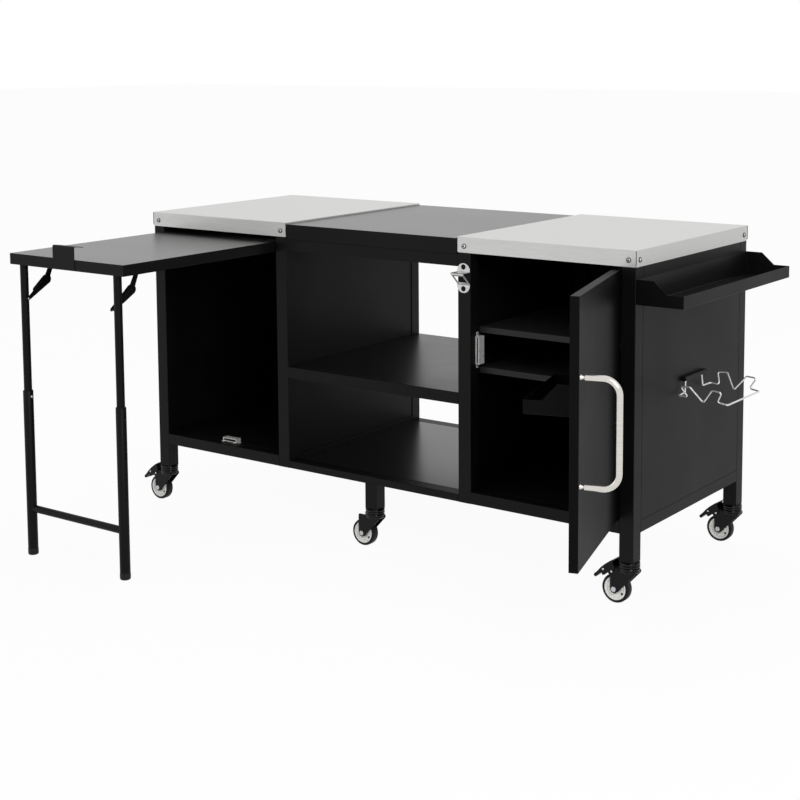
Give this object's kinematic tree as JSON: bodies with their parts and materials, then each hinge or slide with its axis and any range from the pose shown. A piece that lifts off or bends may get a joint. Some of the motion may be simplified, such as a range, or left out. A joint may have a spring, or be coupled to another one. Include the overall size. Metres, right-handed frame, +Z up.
{
  "type": "grill cart with storage",
  "caption": "Outdoor grill cart on casters: steel-topped cabinets beside an open shelf bay, a lift-up table door on folding legs, a tray door, a side tray and a bag holder.",
  "frame": {"origin": "centre of the whole part's footprint box, at floor level, in the pictured state", "axes": "+X to the right along the covers, -Y towards the front, +Z up"},
  "size_m": [1.9275, 1.2434, 0.9],
  "materials": {
    "black_steel": "satin black powder coat",
    "stainless": "brushed",
    "fastener_steel": "satin",
    "black_plastic": "matte",
    "caster_steel": "gloss black",
    "wheel_rubber": "smooth tread on a light grey centre"
  },
  "bodies": {
    "cart": {"front_post_1": "black_steel", "front_post_2": "black_steel", "front_post_3": "black_steel", "front_post_4": "black_steel", "rear_posts": "black_steel", "middle_legs": "black_steel", "bottom_rails_front": "black_steel", "top_rails_front": "black_steel", "rear_rails": "black_steel", "cross_rails": "black_steel", "end_floors": "black_steel", "middle_floor": "black_steel", "side_panels": "black_steel", "divider_panels": "black_steel", "back_panels": "black_steel", "middle_shelf": "black_steel", "right_shelves": "black_steel", "cover_left": "stainless", "cover_right": "stainless", "cover_middle": "black_steel", "flap_pins": "fastener_steel", "door_pivots": "fastener_steel", "side_tray": "black_steel", "bag_bracket": "black_steel", "bag_wire": "stainless", "bottle_opener": "stainless", "magnetic_catches": "black_plastic", "caster_housings": "caster_steel"},
    "flap": {"flap_panel": "black_steel", "flap_pull": "black_steel", "brace_brackets": "black_steel"},
    "leg_upper": {"leg_frame_upper": "black_steel"},
    "leg_lower": {"leg_frame_lower": "black_steel", "foot_caps": "black_plastic", "snap_buttons": "fastener_steel"},
    "brace_upper": {"brace_upper_links": "black_steel"},
    "brace_lower": {"brace_lower_links": "black_steel"},
    "door": {"door_panel": "black_steel", "door_handle": "stainless", "door_tray": "black_steel"},
    "caster_front_left": {"fork_front_left": "caster_steel"},
    "wheel_front_left": {"wheel_front_left": "wheel_rubber"},
    "pedal_front_left": {"pedal_front_left": "caster_steel"},
    "caster_front_middle": {"fork_front_middle": "caster_steel"},
    "wheel_front_middle": {"wheel_front_middle": "wheel_rubber"},
    "caster_front_right": {"fork_front_right": "caster_steel"},
    "wheel_front_right": {"wheel_front_right": "wheel_rubber"},
    "pedal_front_right": {"pedal_front_right": "caster_steel"},
    "caster_rear_left": {"fork_rear_left": "caster_steel"},
    "wheel_rear_left": {"wheel_rear_left": "wheel_rubber"},
    "pedal_rear_left": {"pedal_rear_left": "caster_steel"},
    "caster_rear_middle": {"fork_rear_middle": "caster_steel"},
    "wheel_rear_middle": {"wheel_rear_middle": "wheel_rubber"},
    "caster_rear_right": {"fork_rear_right": "caster_steel"},
    "wheel_rear_right": {"wheel_rear_right": "wheel_rubber"},
    "pedal_rear_right": {"pedal_rear_right": "caster_steel"}
  },
  "joints": [
    {"name": "flap_hinge", "type": "hinge", "parent": "cart", "child": "flap", "pos_m": [-0.62162, -0.01525, 0.827], "axis": [1, 0, 0], "range_deg": [-30, 0]},
    {"name": "leg_fold", "type": "hinge", "parent": "flap", "child": "leg_upper", "pos_m": [-0.62162, -0.60475, 0.824], "axis": [1, 0, 0], "range_deg": [0, 90]},
    {"name": "leg_slide", "type": "slide", "parent": "leg_upper", "child": "leg_lower", "axis": [0, 0, 1], "range_m": [0, 0.24]},
    {"name": "brace_upper_fold", "type": "hinge", "parent": "flap", "child": "brace_upper", "pos_m": [-0.62162, -0.51075, 0.83], "axis": [1, 0, 0], "range_deg": [-56.53, 0]},
    {"name": "brace_lower_fold", "type": "hinge", "parent": "leg_upper", "child": "brace_lower", "pos_m": [-0.62162, -0.60875, 0.72], "axis": [1, 0, 0], "range_deg": [0, 56.03]},
    {"name": "door_hinge", "type": "hinge", "parent": "cart", "child": "door", "pos_m": [0.71442, -0.02735, 0.536], "axis": [0, 0, 1], "range_deg": [-106.7, 8.3]},
    {"name": "swivel_front_left", "type": "hinge", "parent": "cart", "child": "caster_front_left", "pos_m": [-0.86487, -0.01025, 0.097], "axis": [0, 0, 1], "continuous": true},
    {"name": "roll_front_left", "type": "hinge", "parent": "caster_front_left", "child": "wheel_front_left", "pos_m": [-0.89987, -0.01025, 0.0375], "axis": [0, 1, 0], "continuous": true},
    {"name": "brake_front_left", "type": "hinge", "parent": "caster_front_left", "child": "pedal_front_left", "pos_m": [-0.91887, -0.01025, 0.086], "axis": [0, -1, 0], "range_deg": [0, 10]},
    {"name": "swivel_front_middle", "type": "hinge", "parent": "cart", "child": "caster_front_middle", "pos_m": [-0.06237, -0.01025, 0.097], "axis": [0, 0, 1], "continuous": true},
    {"name": "roll_front_middle", "type": "hinge", "parent": "caster_front_middle", "child": "wheel_front_middle", "pos_m": [-0.09738, -0.01025, 0.0375], "axis": [0, 1, 0], "continuous": true},
    {"name": "swivel_front_right", "type": "hinge", "parent": "cart", "child": "caster_front_right", "pos_m": [0.74013, -0.01025, 0.097], "axis": [0, 0, 1], "continuous": true},
    {"name": "roll_front_right", "type": "hinge", "parent": "caster_front_right", "child": "wheel_front_right", "pos_m": [0.70513, -0.01025, 0.0375], "axis": [0, 1, 0], "continuous": true},
    {"name": "brake_front_right", "type": "hinge", "parent": "caster_front_right", "child": "pedal_front_right", "pos_m": [0.68612, -0.01025, 0.086], "axis": [0, -1, 0], "range_deg": [0, 10]},
    {"name": "swivel_rear_left", "type": "hinge", "parent": "cart", "child": "caster_rear_left", "pos_m": [-0.86487, 0.59475, 0.097], "axis": [0, 0, 1], "continuous": true},
    {"name": "roll_rear_left", "type": "hinge", "parent": "caster_rear_left", "child": "wheel_rear_left", "pos_m": [-0.89987, 0.59475, 0.0375], "axis": [0, 1, 0], "continuous": true},
    {"name": "brake_rear_left", "type": "hinge", "parent": "caster_rear_left", "child": "pedal_rear_left", "pos_m": [-0.91887, 0.59475, 0.086], "axis": [0, -1, 0], "range_deg": [0, 10]},
    {"name": "swivel_rear_middle", "type": "hinge", "parent": "cart", "child": "caster_rear_middle", "pos_m": [-0.06237, 0.59475, 0.097], "axis": [0, 0, 1], "continuous": true},
    {"name": "roll_rear_middle", "type": "hinge", "parent": "caster_rear_middle", "child": "wheel_rear_middle", "pos_m": [-0.09738, 0.59475, 0.0375], "axis": [0, 1, 0], "continuous": true},
    {"name": "swivel_rear_right", "type": "hinge", "parent": "cart", "child": "caster_rear_right", "pos_m": [0.74013, 0.59475, 0.097], "axis": [0, 0, 1], "continuous": true},
    {"name": "roll_rear_right", "type": "hinge", "parent": "caster_rear_right", "child": "wheel_rear_right", "pos_m": [0.70513, 0.59475, 0.0375], "axis": [0, 1, 0], "continuous": true},
    {"name": "brake_rear_right", "type": "hinge", "parent": "caster_rear_right", "child": "pedal_rear_right", "pos_m": [0.68612, 0.59475, 0.086], "axis": [0, -1, 0], "range_deg": [0, 10]}
  ],
  "couplings": [
    {"joint": "leg_slide", "follows": "leg_fold", "m_per_rad": 0.15279},
    {"joint": "brace_upper_fold", "follows": "leg_fold", "ratio": -0.62802},
    {"joint": "brace_lower_fold", "follows": "leg_fold", "ratio": 0.62245}
  ]
}
